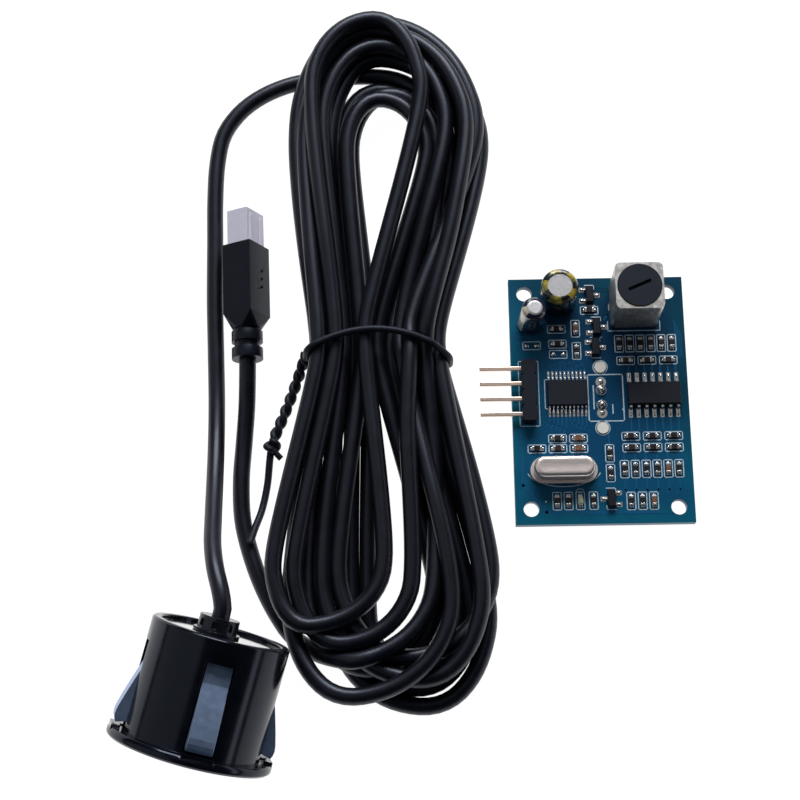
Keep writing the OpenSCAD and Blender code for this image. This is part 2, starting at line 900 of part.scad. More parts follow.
module contact_places() {
    for (y = [-contact_gap / 2, contact_gap / 2])
        translate([0, y, neck_l + plug_l]) children();
}

module plug_housing() {
    color("#e9e8ee")
        in_plug() difference() {
            union() {
                translate([0, 0, neck_l + plug_l]) block([housing_t, housing_w, housing_l]);
                for (y = [-1.5, 1.5])
                    translate([housing_t / 2, y, neck_l + plug_l]) block([0.5, 0.7, housing_l - 1]);
            }
            contact_places() translate([0, 0, housing_l - contact_l]) block([1.5, 1.5, contact_l + 1]);
        }
}

module plug_contacts() {
    color("#cfc7a8")
        in_plug() contact_places()
            translate([0, 0, housing_l - contact_l]) difference() {
                block([1.4, 1.4, contact_l - 0.6]);
                translate([0, 0, 0.4]) block([contact_hole, contact_hole, contact_l]);
            }
}

circuit_board();
header_block();
header_pins();
large_capacitor_can();
large_capacitor_sleeve();
large_capacitor_seal();
large_capacitor_leads();
small_capacitor_can();
small_capacitor_sleeve();
small_capacitor_seal();
small_capacitor_leads();
transformer_shield();
transformer_core();
transformer_bobbin();
transformer_winding();
transformer_pins();
microcontroller_body();
microcontroller_leads();
amplifier_body();
amplifier_leads();
transistor_bodies();
transistor_leads();
crystal_can();
crystal_base();
crystal_leads();
chip_resistors();
chip_capacitors();
chip_terminals();
light_base();
light_lens();
socket_shell();
socket_pins();
solder_joints();
probe_housing();
spring_clip_top();
spring_clip_right();
spring_clip_bottom();
spring_clip_left();
transducer_cup();
isolation_ring();
piezo_disc();
damping_foam();
potting();
inner_wires();
cable_gland();
cable_from_probe();
cable_hank();
cable_to_plug();
cable_tie();
plug_body();
plug_housing();
plug_contacts();
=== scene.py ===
"""Looks for the ultrasonic distance sensor: a control board, and a probe on a long cable tied in a hank."""

import math

import bpy
import numpy as np
from mathutils import Euler, Matrix, Vector


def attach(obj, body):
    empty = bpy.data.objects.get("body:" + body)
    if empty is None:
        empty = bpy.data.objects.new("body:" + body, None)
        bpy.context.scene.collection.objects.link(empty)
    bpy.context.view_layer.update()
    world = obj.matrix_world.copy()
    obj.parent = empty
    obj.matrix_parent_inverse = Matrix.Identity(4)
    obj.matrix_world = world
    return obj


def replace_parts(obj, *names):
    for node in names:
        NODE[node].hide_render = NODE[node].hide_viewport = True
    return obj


MM = 0.001
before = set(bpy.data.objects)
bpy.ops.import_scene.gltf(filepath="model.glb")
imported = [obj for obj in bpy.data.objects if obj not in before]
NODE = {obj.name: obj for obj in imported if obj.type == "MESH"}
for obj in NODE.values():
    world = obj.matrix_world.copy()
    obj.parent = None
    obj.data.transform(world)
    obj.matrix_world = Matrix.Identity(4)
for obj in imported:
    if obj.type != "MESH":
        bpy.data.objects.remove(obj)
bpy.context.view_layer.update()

# ---------------------------------------------------------------- sizes and places, in millimetres
BOARD = (31.3, 19.5)  # the board's middle; places on the board are measured from it
BOARD_TOP = 8.6
BOARD_W, BOARD_L = 28.5, 41.2
LARGE_CAPACITOR, SMALL_CAPACITOR = (-6.35, 17), (-11, 12.9)
CRYSTAL = (-6.35, -11.9)
CABLE_R = 1.4
STEP = 1.4  # between the points of the cable's line
TIE_Y = 30.5
TIE_R = 0.58


def on_board(x, y):
    return BOARD[0] + x, BOARD[1] + y


# ---------------------------------------------------------------- materials


class Nodes:
    """A material's node tree, with short ways to add and join nodes."""

    def __init__(self, name):
        self.material = bpy.data.materials.new(name)
        self.material.use_nodes = True
        self.tree = self.material.node_tree
        self.surface = self.tree.nodes["Principled BSDF"]

    def add(self, kind, **values):
        node = self.tree.nodes.new(kind)
        for key, value in values.items():
            if key in node.inputs:
                node.inputs[key].default_value = value
            else:
                setattr(node, key, value)
        return node

    def join(self, out, into):
        self.tree.links.new(out, into)

    def place(self, scale=(1, 1, 1), at=(0, 0, 0), turn=(0, 0, 0)):
        """Object coordinates in millimetres, moved, turned and stretched."""
        where = self.add("ShaderNodeTexCoord")
        moved = self.add("ShaderNodeMapping", vector_type="TEXTURE")
        moved.inputs["Location"].default_value = [v * MM for v in at]
        moved.inputs["Rotation"].default_value = [math.radians(v) for v in turn]
        moved.inputs["Scale"].default_value = [MM / v for v in scale]
        self.join(where.outputs["Object"], moved.inputs["Vector"])
        return moved.outputs["Vector"]

    def noise(self, vector, scale, detail):
        node = self.add("ShaderNodeTexNoise", Scale=scale, Detail=detail)
        self.join(vector, node.inputs["Vector"])
        return node.outputs["Fac"]

    def ramp(self, value, stops):
        node = self.add("ShaderNodeValToRGB")
        self.join(value, node.inputs["Fac"])
        bar = node.color_ramp.elements
        while len(bar) < len(stops):
            bar.new(0.5)
        for element, (at, colour) in zip(bar, stops):
            element.position = at
            element.color = (*colour, 1) if len(colour) == 3 else colour
        return node.outputs["Color"]

    def math(self, operation, a, b=0.0, clamp=False):
        node = self.add("ShaderNodeMath", operation=operation, use_clamp=clamp)
        for socket, value in zip(node.inputs, (a, b)):
            if isinstance(value, (int, float)):
                socket.default_value = value
            else:
                self.join(value, socket)
        return node.outputs["Value"]

    def mix(self, factor, a, b, blend="MIX"):
        node = self.add("ShaderNodeMix", data_type="RGBA", blend_type=blend)
        for socket, value in ((node.inputs[0], factor), (node.inputs[6], a), (node.inputs[7], b)):
            if isinstance(value, (int, float)):
                socket.default_value = value
            elif isinstance(value, tuple):
                socket.default_value = (*value, 1)
            else:
                self.join(value, socket)
        return node.outputs[2]

    def axes(self, vector):
        node = self.add("ShaderNodeSeparateXYZ")
        self.join(vector, node.inputs[0])
        return node.outputs

    def bump(self, height, strength, depth):
        node = self.add("ShaderNodeBump", Strength=strength, Distance=depth * MM)
        self.join(height, node.inputs["Height"])
        self.join(node.outputs["Normal"], self.surface.inputs["Normal"])

    def vary(self, socket, low, high, value):
        node = self.add("ShaderNodeMapRange")
        node.inputs["To Min"].default_value = low
        node.inputs["To Max"].default_value = high
        self.join(value, node.inputs["Value"])
        self.join(node.outputs["Result"], self.surface.inputs[socket])


def finish(name, colour, rough, metal=0.0, coat=0.0, grain=1.2, spread=0.15, bump=0.1, stretch=(1, 1, 1),
           **more):
    """A plain material whose colour, roughness and surface vary a little, as a real finish does."""
    made = Nodes(name)
    surface = made.surface
    surface.inputs["Metallic"].default_value = metal
    surface.inputs["Coat Weight"].default_value = coat
    surface.inputs["Coat Roughness"].default_value = 0.05
    for key, value in more.items():
        surface.inputs[key].default_value = value
    noise = made.noise(made.place(stretch), grain, 5)
    dark = tuple(c * (1 - spread) for c in colour)
    light = tuple(min(1, c * (1 + spread)) for c in colour)
    made.join(made.ramp(noise, [(0.3, dark), (0.7, light)]), surface.inputs["Base Color"])
    made.vary("Roughness", rough * 0.8, min(1, rough * 1.2), noise)
    if bump:
        made.bump(made.noise(made.place(stretch), grain * 6, 3), bump, 0.03)
    return made


def board_mask():
    """Blue solder mask: deep in the middle, teal near the edges, darker towards the upper right corner."""
    middle, border, rim = (0.002, 0.056, 0.140), (0.002, 0.076, 0.160), (0.0015, 0.102, 0.172)
    shadow = (0.42, 0.45, 0.5)
    made = Nodes("solder_mask")
    surface = made.surface
    axes = made.axes(made.place(at=(*BOARD, 0)))
    side = made.math("DIVIDE", made.math("ABSOLUTE", axes["X"]), BOARD_W / 2)
    end = made.math("DIVIDE", made.math("ABSOLUTE", axes["Y"]), BOARD_L / 2)
    cloud = made.noise(made.place(), 0.22, 2)
    uneven = made.math("MULTIPLY", made.math("SUBTRACT", cloud, 0.5), 0.5)
    outwards = made.math("ADD", made.math("MAXIMUM", side, end), uneven)
    colour = made.ramp(outwards, [(0.45, middle), (0.8, border), (1.0, rim)])
    across = made.math("ADD", made.math("MULTIPLY", axes["X"], 0.9), axes["Y"])
    cornerwards = made.math("ADD", made.math("MULTIPLY", across, 0.05), made.math("MULTIPLY", cloud, 0.6),
                            clamp=True)
    shade = made.ramp(cornerwards, [(0.35, (1, 1, 1)), (0.9, shadow)])
    made.join(made.mix(1, colour, shade, "MULTIPLY"), surface.inputs["Base Color"])
    surface.inputs["Roughness"].default_value = 0.34
    surface.inputs["Specular IOR Level"].default_value = 0.22
    surface.inputs["Specular Tint"].default_value = (0.55, 0.8, 1.0, 1)
    made.bump(made.noise(made.place(), 3.0, 4), 0.12, 0.02)
    return made


def marked_sleeve():
    """Black sleeve with olive and gold patches printed around its shoulder."""
    printed_from, waves, ink_level = 6.0, 2.5, 1.12
    black, olive, gold = (0.010, 0.013, 0.012), (0.11, 0.13, 0.03), (0.46, 0.34, 0.04)
    made = Nodes("marked_sleeve")
    place = made.place(at=(*on_board(*LARGE_CAPACITOR), BOARD_TOP))
    axes = made.axes(place)
    shoulder = made.math("GREATER_THAN", axes["Z"], printed_from)
    around = made.math("ARCTAN2", axes["Y"], axes["X"])
    bands = made.math("ABSOLUTE", made.math("SINE", made.math("MULTIPLY", around, waves)))
    patches = made.math("ADD", bands, made.noise(place, 1.3, 2))
    ink = made.math("MULTIPLY", made.math("GREATER_THAN", patches, ink_level), shoulder)
    print_colour = made.ramp(made.noise(place, 0.9, 2), [(0.4, olive), (0.6, gold)])
    made.join(made.mix(ink, black, print_colour), made.surface.inputs["Base Color"])
    made.surface.inputs["Roughness"].default_value = 0.22
    made.surface.inputs["Coat Weight"].default_value = 0.4
    return made


def striped_sleeve():
    """Navy sleeve with a cream stripe down one side, on a can that leans a little."""
    lean, stripe_angle, stripe_half, cream = 0.07, -2.75, 0.42, (0.62, 0.56, 0.44)
    made = Nodes("striped_sleeve")
    place = made.place(at=(*on_board(*SMALL_CAPACITOR), BOARD_TOP))
    axes = made.axes(place)
    shift = made.math("MULTIPLY", axes["Z"], lean)
    x = made.math("SUBTRACT", axes["X"], shift)
    y = made.math("SUBTRACT", axes["Y"], shift)
    from_stripe = made.math("ABSOLUTE", made.math("ADD", made.math("ARCTAN2", y, x), -stripe_angle))
    stripe = made.math("LESS_THAN", from_stripe, stripe_half)
    navy = made.ramp(made.noise(place, 1.5, 3), [(0.3, (0.008, 0.012, 0.03)), (0.7, (0.018, 0.024, 0.05))])
    made.join(made.mix(stripe, navy, cream), made.surface.inputs["Base Color"])
    made.surface.inputs["Roughness"].default_value = 0.2
    made.surface.inputs["Coat Weight"].default_value = 0.5
    return made


# Black plastics and rubbers shine less than the shader's usual plastic, with a cool cast
DULL = {"Specular IOR Level": 0.32, "Specular Tint": (0.66, 0.75, 1.0, 1)}
SATIN = {"Specular IOR Level": 0.45, "Specular Tint": (0.7, 0.78, 1.0, 1)}

M = {
    "mask": board_mask(),
    "silk": finish("silk", (0.50, 0.64, 0.74), 0.6, grain=2.5, spread=0.22, bump=0.02),
    "trace": finish("trace", (0.002, 0.085, 0.20), 0.34, spread=0.1, bump=0.02, **DULL),
    "tin": finish("tin", (0.80, 0.79, 0.77), 0.22, 1.0, grain=2.5, spread=0.12, bump=0.25),
    "solder": finish("solder", (0.62, 0.60, 0.58), 0.2, 1.0, grain=3.0, spread=0.15, bump=0.5),
    "gilt": finish("gilt", (0.95, 0.74, 0.62), 0.3, 1.0, spread=0.05, stretch=(1, 4, 4)),
    "block": finish("block", (0.004, 0.004, 0.006), 0.5, bump=0.25, grain=2, **DULL),
    "epoxy": finish("epoxy", (0.005, 0.0055, 0.007), 0.6, grain=4, spread=0.3, bump=0.5, **DULL),
    "can": finish("can", (0.43, 0.43, 0.45), 0.45, 1.0, grain=9, spread=0.22, bump=0.6),
    "marked": marked_sleeve(),
    "striped": striped_sleeve(),
    "rubber": finish("rubber", (0.012, 0.012, 0.013), 0.6),
    "shield": finish("shield", (0.56, 0.545, 0.525), 0.38, 1.0, grain=0.9, spread=0.3, bump=0.12,
                     stretch=(1.6, 1.6, 0.7)),
    "ferrite": finish("ferrite", (0.005, 0.006, 0.009), 0.5, grain=5, spread=0.4, bump=0.8, **DULL),
    "bobbin": finish("bobbin", (0.05, 0.035, 0.03), 0.5),
    "copper": finish("copper", (0.60, 0.20, 0.07), 0.3, 1.0, grain=2, stretch=(1, 1, 8)),
    "crystal": finish("crystal", (0.90, 0.81, 0.77), 0.36, 1.0, grain=5, spread=0.05, bump=0.12,
                      stretch=(0.25, 1.4, 1.4)),
    "resistor": finish("resistor", (0.018, 0.012, 0.010), 0.4, grain=1.2, spread=0.6, coat=0.2, **DULL),
    "capacitor": finish("capacitor", (0.17, 0.072, 0.035), 0.42, grain=3, spread=0.35),
    "lens": finish("lens", (0.42, 0.50, 0.32), 0.2, coat=0.5, grain=3, spread=0.3),
    "nylon": finish("nylon", (0.80, 0.78, 0.72), 0.45, grain=0.8, spread=0.05),
    "housing": finish("housing", (0.003, 0.0035, 0.006), 0.16, grain=0.4, spread=0.3, bump=0.03, **DULL),
    # The clips' slate blue is a painted reflection of bluish light on them
    "clip": finish("clip", (0.27, 0.37, 0.56), 0.42, 0.8, grain=0.9, spread=0.08, bump=0.12),
    "face": finish("face", (0.03, 0.03, 0.034), 0.4, 0.6, grain=5, spread=0.2),
    "ring": finish("ring", (0.014, 0.014, 0.016), 0.55),
    "resin": finish("resin", (0.012, 0.012, 0.014), 0.08, coat=1.0, grain=0.5, spread=0.3, bump=0.35),
    "glue": finish("glue", (0.006, 0.006, 0.009), 0.22, coat=0.3, grain=2.0, spread=0.6, bump=0.9, **DULL),
    "piezo": finish("piezo", (0.70, 0.62, 0.44), 0.5),
    "foam": finish("foam", (0.12, 0.12, 0.13), 0.9, grain=3, bump=0.8),
    "wire": finish("wire", (0.45, 0.03, 0.02), 0.35),
    "jacket": finish("jacket", (0.003, 0.003, 0.0055), 0.4, coat=0.06, grain=0.35, spread=0.25, bump=0.05,
                     **SATIN),
    "tie": finish("tie", (0.006, 0.006, 0.009), 0.5, grain=2, bump=0.5, **DULL),
    "mould": finish("mould", (0.0035, 0.004, 0.007), 0.36, grain=0.8, spread=0.2, bump=0.1, **DULL),
    "plug": finish("plug", (0.60, 0.59, 0.70), 0.3, grain=0.6, spread=0.04),
}

CLIPS = [f"spring_clip_{side}" for side in ("top", "right", "bottom", "left")]
# The material of each node that isn't replaced
LOOK = {
    "circuit_board": "mask", "header_block": "block", "header_pins": "gilt",
    "large_capacitor_can": "can", "large_capacitor_sleeve": "marked", "large_capacitor_seal": "rubber",
    "large_capacitor_leads": "tin", "small_capacitor_can": "can", "small_capacitor_sleeve": "striped",
    "small_capacitor_seal": "rubber", "small_capacitor_leads": "tin", "transformer_shield": "shield",
    "transformer_core": "ferrite", "transformer_bobbin": "bobbin", "transformer_winding": "copper",
    "transformer_pins": "tin", "microcontroller_body": "epoxy", "microcontroller_leads": "tin",
    "amplifier_body": "epoxy", "amplifier_leads": "tin", "transistor_bodies": "epoxy",
    "transistor_leads": "tin", "crystal_base": "crystal", "crystal_leads": "tin",
    "chip_resistors": "resistor", "chip_capacitors": "capacitor", "chip_terminals": "solder",
    "light_base": "nylon", "light_lens": "lens", "socket_shell": "nylon", "socket_pins": "tin",
    "solder_joints": "solder", "probe_housing": "housing", "transducer_cup": "face", "isolation_ring": "ring",
    "piezo_disc": "piezo", "damping_foam": "foam", "potting": "resin", "inner_wires": "wire",
    "cable_gland": "glue", "plug_body": "mould", "plug_housing": "plug", "plug_contacts": "gilt",
    **dict.fromkeys(CLIPS, "clip"),
}
# How far each node's sharp edges are rounded, in millimetres
ROUND = {
    "circuit_board": 0.06, "header_block": 0.1, "header_pins": 0.12, "transformer_shield": 0.22,
    "transformer_core": 0.12, "microcontroller_body": 0.05, "amplifier_body": 0.06, "transistor_bodies": 0.06,
    "crystal_base": 0.2, "chip_resistors": 0.05, "chip_capacitors": 0.08, "chip_terminals": 0.06,
    "light_lens": 0.1, "socket_shell": 0.15, "probe_housing": 0.1, "transducer_cup": 0.25,
    "cable_gland": 0.15, "plug_body": 0.4, "plug_housing": 0.45, "large_capacitor_can": 0.05,
    "small_capacitor_can": 0.05, "solder_joints": 0.2, **dict.fromkeys(CLIPS, 0.08),
}
WELD_WITHIN = 0.002
SHARP = math.radians(35)

for node, look in LOOK.items():
    obj = NODE[node]
    obj.data.materials.clear()
    obj.data.materials.append(M[look].material)
    if node in ROUND:
        weld = obj.modifiers.new("weld", "WELD")
        weld.merge_threshold = WELD_WITHIN * MM
        bevel = obj.modifiers.new("round", "BEVEL")
        bevel.width = ROUND[node] * MM
        bevel.segments = 3
        bevel.limit_method = "ANGLE"
        bevel.angle_limit = SHARP

# ---------------------------------------------------------------- shapes on the board
PRINT_T = 0.02  # the thickness of printing and traces
BOX_FACES = [(3, 2, 1, 0), (4, 5, 6, 7), (0, 1, 5, 4), (1, 2, 6, 5), (2, 3, 7, 6), (3, 0, 4, 7)]


class Heap:
    """Gathers many small shapes into one mesh. They are measured from the middle of the board's top."""

    def __init__(self):
        self.vertices, self.faces = [], []

    def add(self, vertices, faces):
        base = len(self.vertices)
        self.vertices += [(BOARD[0] + x, BOARD[1] + y, BOARD_TOP + z) for x, y, z in vertices]
        self.faces += [tuple(i + base for i in f) for f in faces]

    def box(self, x0, y0, z0, x1, y1, z1):
        corners = [(x, y, z) for z in (z0, z1) for x, y in ((x0, y0), (x1, y0), (x1, y1), (x0, y1))]
        self.add(corners, BOX_FACES)

    def line(self, points, width, low=0.0):
        """A flat line through points."""
        for a, b in zip(points, points[1:]):
            run = Vector((b[0] - a[0], b[1] - a[1]))
            along = run.normalized() * width / 2
            side = Vector((-along.y, along.x))
            p, q = Vector(a) - along, Vector(b) + along
            flat = [p - side, q - side, q + side, p + side]
            self.add([(v.x, v.y, z) for z in (low, low + PRINT_T) for v in flat], BOX_FACES)

    def frame(self, x, y, w, h, width):
        """A rectangle centred at x, y."""
        a, b = x - w / 2, x + w / 2
        c, d = y - h / 2, y + h / 2
        self.line([(a, c), (b, c), (b, d), (a, d), (a, c)], width)

    def dome(self, x, y, rx, ry, height, turns=12, rings=3):
        """A rounded blob of solder."""
        vertices, faces = [], []
        for k in range(rings):
            a = 0.5 * math.pi * k / rings
            for i in range(turns):
                t = 2 * math.pi * i / turns
                vertices.append((x + rx * math.cos(a) * math.cos(t), y + ry * math.cos(a) * math.sin(t),
                                 height * math.sin(a)))
        vertices.append((x, y, height))
        for k in range(rings - 1):
            for i in range(turns):
                j = (i + 1) % turns
                faces.append((k * turns + i, k * turns + j, (k + 1) * turns + j, (k + 1) * turns + i))
        last, top = (rings - 1) * turns, len(vertices) - 1
        faces += [(last + i, last + (i + 1) % turns, top) for i in range(turns)]
        faces.append(tuple(range(turns - 1, -1, -1)))
        self.add(vertices, faces)

    def ring(self, x, y, inner, outer, height, turns=32):
        """A flat ring around a hole."""
        vertices, faces = [], []
        angles = [2 * math.pi * i / turns for i in range(turns)]
        for r, z in ((inner, 0), (outer, 0), (outer, height), (inner, height)):
            vertices += [(x + r * math.cos(a), y + r * math.sin(a), z) for a in angles]
        for k in range(4):
            for i in range(turns):
                j, m = (i + 1) % turns, (k + 1) % 4
                faces.append((k * turns + i, k * turns + j, m * turns + j, m * turns + i))
        self.add(vertices, faces)

    def make(self, name, look, smooth=False):
        """One piece of all the shapes, which rides on the board."""
        data = bpy.data.meshes.new(name)
        data.from_pydata([[c * MM for c in v] for v in self.vertices], [], self.faces)
        data.update()
        if smooth:
            data.polygons.foreach_set("use_smooth", [True] * len(data.polygons))
        data.materials.append(M[look].material)
        obj = bpy.data.objects.new(name, data)
        bpy.context.scene.collection.objects.link(obj)
        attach(obj, "control_board")
        return obj


# ---------------------------------------------------------------- printing, traces and solder on the board
# The chips that lie across the board, those that lie along it, and two places left empty
ACROSS = (
    [(4.4 + 3.45 * i, 6.3) for i in range(3)] + [(4.6 + 3.43 * i, -6.4) for i in range(3)]
    + [(4.65 + 3.4 * i, -8.3) for i in range(3)]
    + [(-1.15, 15), (-6.65, 11.85), (-6.55, 9.3), (-10.5, -8.25), (-7.15, -8.25), (-7.15, -6.6), (-3.8, -6.6),
       (-3.8, -8.25)]
)
ALONG = (
    [(3.45 + 1.71 * i, 9.2) for i in range(6)] + [(3.35 + 1.74 * i, -11.8) for i in range(6)]
    + [(-3.5, 8.1), (1.1, -9.15), (1.1, -12.4), (-7.6, -16.85), (-5.8, -16.85), (-1.8, -16.85), (4.15, -17),
       (5.95, -17), (-3.55, 11.9), (7.75, -17), (-3.9, -16.85)]
)
EMPTY = [(-10.75, 9.1), (-6.5, 7.55)]
FRAME_ACROSS, FRAME_ALONG = (2.85, 1.34), (1.36, 2.85)
CHIP_END, EMPTY_END = 0.93, 0.8  # from a chip's middle to the solder at its end
CHIP_SOLDER, EMPTY_SOLDER = (0.25, 0.40), (0.42, 0.40)
# For the microcontroller and the amplifier: the middle, the leads on a side and their pitch, how far out they
# stand, half the pad, and the solder's half width, half length, height and fineness
LEADED = [
    ((-5.3, 0.85), 10, 0.65, 3.25, (0.16, 0.55), (0.14, 0.42, 0.16, 8, 2)),
    ((8.6, 0.45), 7, 1.27, 3.0, (0.32, 0.75), (0.27, 0.6, 0.22, 10, 2)),
]
# Each transistor's place, and the side that its single lead is on
TRANSISTORS = [(-1, 17.6, 1), (-0.1, 12.1, 1), (-0.4, 8.6, 1), (1, -16.6, -1)]
PAD_T = 0.03
PRINT_W = 0.14
SOCKET_X = 0.2
SOCKET_PINS, SOCKET_PEGS, SOCKET_SPARES = (1.4, -1.1), (5.25, -4.95), (2.75, -2.45)
SUNK = -0.006  # how far the traces' lower faces lie in the mask


def lead_places(middle, leads, pitch, out):
    """The feet of a chip's two rows of leads."""
    return [(middle[0] + (i - (leads - 1) / 2) * pitch, middle[1] + out * s)
            for i in range(leads) for s in (-1, 1)]


def solder_feet(metal, solder, places, pad, drop):
    """Each foot stands on a pad and is soldered to it."""
    for x, y in places:
        metal.box(x - pad[0], y - pad[1], 0, x + pad[0], y + pad[1], PAD_T)
        solder.dome(x, y, *drop)


def print_chips(silk, solder):
    for x, y in ACROSS + EMPTY:
        silk.frame(x, y, *FRAME_ACROSS, PRINT_W)
    for x, y in ALONG:
        silk.frame(x, y, *FRAME_ALONG, PRINT_W)
    for s in (-1, 1):
        for x, y in EMPTY:
            solder.dome(x + EMPTY_END * s, y, *EMPTY_SOLDER, 0.16)
        for x, y in ACROSS:
            solder.dome(x + CHIP_END * s, y, *CHIP_SOLDER, 0.3)
        for x, y in ALONG:
            solder.dome(x, y + CHIP_END * s, *CHIP_SOLDER[::-1], 0.3)


def print_socket(silk, metal, solder):
    """The probe socket's outline, and its pins, pegs and spare pads."""
    silk.frame(0.9, 0.1, 5.65, 7.8, 0.19)
    silk.line([(-1.05, 2.1), (-1.05, -1.7)], 0.2)
    silk.line([(1.95, -1.1), (1.95, -2.5)], 0.2)
    for y in SOCKET_SPARES:
        metal.ring(SOCKET_X, y, 0.42, 0.85, 0.04)
        solder.dome(SOCKET_X, y, 0.5, 0.5, 0.12)
    for y in SOCKET_PEGS:
        silk.ring(SOCKET_X, y, 1.08, 1.22, PRINT_T)
    for y in SOCKET_PINS:
        metal.ring(SOCKET_X, y, 0.5, 0.85, 0.04)
        solder.dome(SOCKET_X, y, 0.75, 0.62, 0.95, 20, 6)


def print_outlines(silk):
    """Header, transformer, transistors, crystal, light and microcontroller, in that order."""
    silk.frame(-11.45, 1, 3.2, 10.9, PRINT_W)
    silk.line([(1.75, 13), (1.75, 11.4), (10.25, 11.4), (10.25, 13)], PRINT_W)
    for x, y, _ in TRANSISTORS:
        for s in (-1, 1):
            end, corner = y + 1.75 * s, y + 1.1 * s
            silk.line([(x - 0.75 * s, end), (x + 0.75 * s, end), (x + 0.75 * s, corner)], PRINT_W)
    below = [math.pi * (1.0 + i / 14) for i in range(1, 14)]
    silk.line([(-6.3 + 5.9 * math.cos(t), -11.75 + 2.75 * math.sin(t)) for t in below], PRINT_W)
    above = [math.pi * i / 8 for i in range(9)]
    silk.line([(-3.9 + 0.68 * math.cos(t), -15.45 + 0.55 * math.sin(t)) for t in above], PRINT_W)
    silk.line([(-8.4, 3.3), (-8.9, 3.3), (-8.9, -1.6), (-8.4, -1.6)], PRINT_W)
    for x, y in ((-9.35, -16.9), (3.6, -1.9)):
        silk.dome(x, y, 0.16, 0.16, PRINT_T)


def print_board():
    silk, metal, solder = Heap(), Heap(), Heap()
    print_chips(silk, solder)
    for middle, leads, pitch, out, pad, drop in LEADED:
        solder_feet(metal, solder, lead_places(middle, leads, pitch, out), pad, drop)
    for x, y, s in TRANSISTORS:
        feet = [(x + 1.25 * s, y), (x - 1.25 * s, y - 0.95), (x - 1.25 * s, y + 0.95)]
        solder_feet(metal, solder, feet, (0.45, 0.4), (0.36, 0.32, 0.24))
    print_socket(silk, metal, solder)
    print_outlines(silk)
    silk.make("board_printing", "silk")
    metal.make("board_pads", "tin")
    solder.make("board_solder", "solder", True)


def draw_traces():
    """Traces from the chips and along the edges, which stand up a little under the mask."""
    traces = Heap()

    def draw(width, *points):
        traces.line(points, width, SUNK)

    (middle, _), leads, pitch = LEADED[0][:3]
    for i in range(leads):
        x = middle + (i - (leads - 1) / 2) * pitch
        drop, rise = 1.3 + 0.28 * (i % 5), 0.7 + 0.22 * (i % 4)
        turn = 0.5 if i > 4 else -0.5
        draw(0.2, (x, -2.6), (x, -2.6 - drop), (x + turn, -3.1 - drop))
        draw(0.2, (x, 4.5), (x, 4.5 + rise), (x - turn, 5.0 + rise))
    (middle, _), leads, pitch = LEADED[1][:3]
    for i in range(leads):
        x = middle + (i - (leads - 1) / 2) * pitch
        draw(0.26, (x, -3.2), (x, -5.4))
        draw(0.26, (x, 4.1), (x, 5.4))
    for i in range(6):
        x = 3.35 + 1.74 * i
        draw(0.3, (x, -13.3), (x, -15.2), (x - 0.6, -15.8))
        draw(0.3, (x, -9.3), (x, -10.3))
    for i in range(5):
        draw(0.3, (-13.2, 14 - 1.1 * i), (-12.2 + 0.5 * i, 14 - 1.1 * i))
        draw(0.12, (12.6 + 0.25 * i, 6.8), (12.6 + 0.25 * i, 13.2 - 0.6 * i))
    draw(0.3, (1.1, -5.9), (1.1, -7.5))
    draw(0.4, (-9.2, 13.7), (-7.9, 12.6), (-7.9, 11.8))
    draw(0.45, (-12.9, -3.6), (-12.9, -14.2), (-9.3, -18.6), (9, -18.9))
    draw(0.35, (2.9, 14.2), (1.8, 14.2), (1.2, 13.4))
    traces.make("board_traces", "trace")


def crystal_cover():
    """A drawn cover with round ends and a soft rim, over the crystal's base."""
    length, width, foot, top = 9.7, 3.4, 0.7, 3.5
    rim, rim_steps, turns = 0.55, 6, 16
    flat_from, dish_from, dish = 0.85, 1.2, 0.03
    corner = [math.pi * k / (2 * rim_steps) for k in range(rim_steps + 1)]
    rings = [(0, foot)] + [(rim * (1 - math.cos(a)), top - rim + rim * math.sin(a)) for a in corner]
    rings += [(flat_from, top), (dish_from, top - dish)]
    vertices = []
    for inset, height in rings:
        r = width / 2 - inset
        for side in (1, -1):
            middle = CRYSTAL[0] + side * (length - width) / 2
            start = -0.5 * math.pi * side
            for a in [start + math.pi * k / turns for k in range(turns + 1)]:
                vertices.append((middle + r * math.cos(a), CRYSTAL[1] + r * math.sin(a), height))
    n = 2 * (turns + 1)
    faces = []
    for low in range(0, n * (len(rings) - 1), n):
        faces += [(low + i, low + (i + 1) % n, low + n + (i + 1) % n, low + n + i) for i in range(n)]
    faces.append(tuple(range(len(vertices) - n, len(vertices))))
    faces.append(tuple(range(n - 1, -1, -1)))
    heap = Heap()
    heap.add(vertices, faces)
    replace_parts(heap.make("crystal_cover", "crystal", True), "crystal_can")


print_board()
draw_traces()
crystal_cover()

# ---------------------------------------------------------------- cable: two free runs and the hank's turns
RUN_1 = [(-28.57, -16.45, 16.97), (-28.25, -15.2, 17.2), (-28.6, -12.6, 17.1), (-29.6, -8.8, 15.8),
         (-30.4, -4.4, 13.2), (-30.7, 0, 10.3), (-31, 7, 6.2), (-31.2, 14, 3.2), (-31.4, 22, 1.6),
         (-31.7, 31, 1.4), (-32, 40, 1.4), (-32.1, 50, 1.4), (-32.2, 58, 1.4), (-31.9, 65, 1.4),
         (-30.9, 70, 1.4), (-28.8, 73.5, 1.4), (-26, 76.2, 1.4), (-22, 78.5, 1.4), (-17, 80, 1.4)]
RUN_2 = [(-18.3, -17.5, 1.4), (-21, -14, 1.4), (-23.6, -9, 1.4), (-25.6, -3.5, 1.4), (-26.9, 2, 1.4),
         (-27.2, 8.7, 1.4), (-26.8, 15, 1.4), (-26.35, 21, 2.2), (-26.15, 27, 3.72), (-26.15, 28.6, 3.82)]
